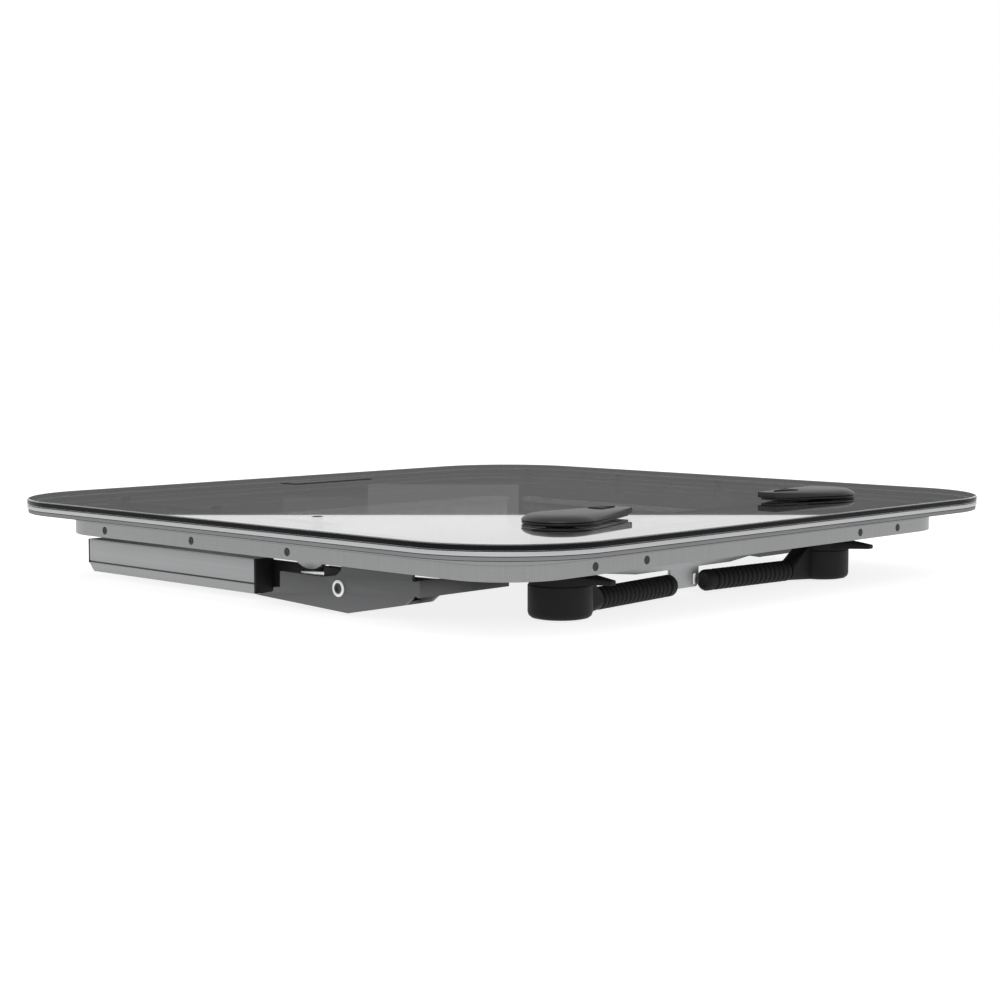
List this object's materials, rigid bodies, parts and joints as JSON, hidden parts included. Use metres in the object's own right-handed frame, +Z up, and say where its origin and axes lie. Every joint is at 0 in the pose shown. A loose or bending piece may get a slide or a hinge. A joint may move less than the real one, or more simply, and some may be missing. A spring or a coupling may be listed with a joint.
{
  "type": "deck hatch",
  "caption": "Rounded low-profile deck hatch with a smoked lid on lifting hinge arms, a brushed deck frame and turning latch handles inside and out.",
  "frame": {"origin": "middle of the deck cut-out, in the plane of the deck's top surface, which is the underside of the deck gasket", "axes": "+X to the right along the hinge line, +Y towards the hinge side, +Z up out of the deck"},
  "size_m": [0.64, 0.615, 0.0778],
  "materials": {
    "brushed_frame": "brushed along the skirt, satin",
    "deck_gasket": "matt closed-cell grey",
    "smoked_acrylic": "polished, smoked, half see-through",
    "black_rubber": "matt",
    "satin_aluminium": "satin",
    "arm_aluminium": "anodised extrusion",
    "stainless": "polished",
    "dark_bracket": "smooth satin",
    "white_nylon": "satin",
    "black_plastic": "fine moulded grain",
    "gloss_black": "glossy moulding"
  },
  "bodies": {
    "frame": {"deck_frame": "brushed_frame", "deck_gasket": "deck_gasket", "striker_left": "stainless", "mount_rail_left": "satin_aluminium", "hinge_bracket_left": "dark_bracket", "pivot_bolt_left": "stainless", "pivot_washer_left": "white_nylon", "stop_block_left": "black_plastic", "spring_blade_left": "stainless", "side_screw_left_1": "stainless", "side_screw_left_2": "stainless", "side_screw_left_3": "stainless", "striker_screw_left_1": "stainless", "striker_screw_left_2": "stainless", "striker_right": "stainless", "mount_rail_right": "satin_aluminium", "hinge_bracket_right": "dark_bracket", "pivot_bolt_right": "stainless", "pivot_washer_right": "white_nylon", "stop_block_right": "black_plastic", "spring_blade_right": "stainless", "side_screw_right_1": "stainless", "side_screw_right_2": "stainless", "side_screw_right_3": "stainless", "striker_screw_right_1": "stainless", "striker_screw_right_2": "stainless"},
    "left_arm": {"arm_box_left": "arm_aluminium", "arm_front_cap_left": "black_plastic", "arm_rear_plug_left": "black_plastic", "arm_root_left": "black_plastic", "lid_hinge_pin_left": "stainless"},
    "right_arm": {"arm_box_right": "arm_aluminium", "arm_front_cap_right": "black_plastic", "arm_rear_plug_right": "black_plastic", "arm_root_right": "black_plastic", "lid_hinge_pin_right": "stainless"},
    "lid": {"acrylic_pane": "smoked_acrylic", "lid_seal": "black_rubber", "blank_badge": "satin_aluminium", "lock_bridge": "satin_aluminium", "bridge_catch": "satin_aluminium", "lid_rail_left": "satin_aluminium", "handle_bush_left": "black_plastic", "lid_stud_left_1": "gloss_black", "lid_stud_left_2": "gloss_black", "lid_stud_left_3": "gloss_black", "lid_rail_right": "satin_aluminium", "handle_bush_right": "black_plastic", "lid_stud_right_1": "gloss_black", "lid_stud_right_2": "gloss_black", "lid_stud_right_3": "gloss_black"},
    "left_handle": {"outer_handle_left": "gloss_black", "spindle_left": "stainless", "inner_handle_left": "black_plastic", "lever_grip_left": "black_rubber"},
    "right_handle": {"outer_handle_right": "gloss_black", "spindle_right": "stainless", "inner_handle_right": "black_plastic", "lever_grip_right": "black_rubber"}
  },
  "joints": [
    {"name": "left_arm_lift", "type": "hinge", "parent": "frame", "child": "left_arm", "pos_m": [-0.2663, -0.0839, -0.0372], "axis": [1, 0, 0], "range_deg": [0, 25]},
    {"name": "right_arm_lift", "type": "hinge", "parent": "frame", "child": "right_arm", "pos_m": [0.2663, -0.0839, -0.0372], "axis": [1, 0, 0], "range_deg": [0, 25]},
    {"name": "lid_tilt", "type": "hinge", "parent": "left_arm", "child": "lid", "pos_m": [-0.2452, 0.2205, -0.0355], "axis": [-1, 0, 0], "range_deg": [0, 100]},
    {"name": "left_handle_turn", "type": "hinge", "parent": "lid", "child": "left_handle", "pos_m": [-0.165, -0.2101, 0], "axis": [0, 0, 1], "range_deg": [0, 85]},
    {"name": "right_handle_turn", "type": "hinge", "parent": "lid", "child": "right_handle", "pos_m": [0.165, -0.2101, 0], "axis": [0, 0, -1], "range_deg": [0, 85]}
  ],
  "couplings": [
    {"joint": "left_arm_lift", "follows": "lid_tilt", "ratio": 0.25},
    {"joint": "right_arm_lift", "follows": "lid_tilt", "ratio": 0.25}
  ]
}
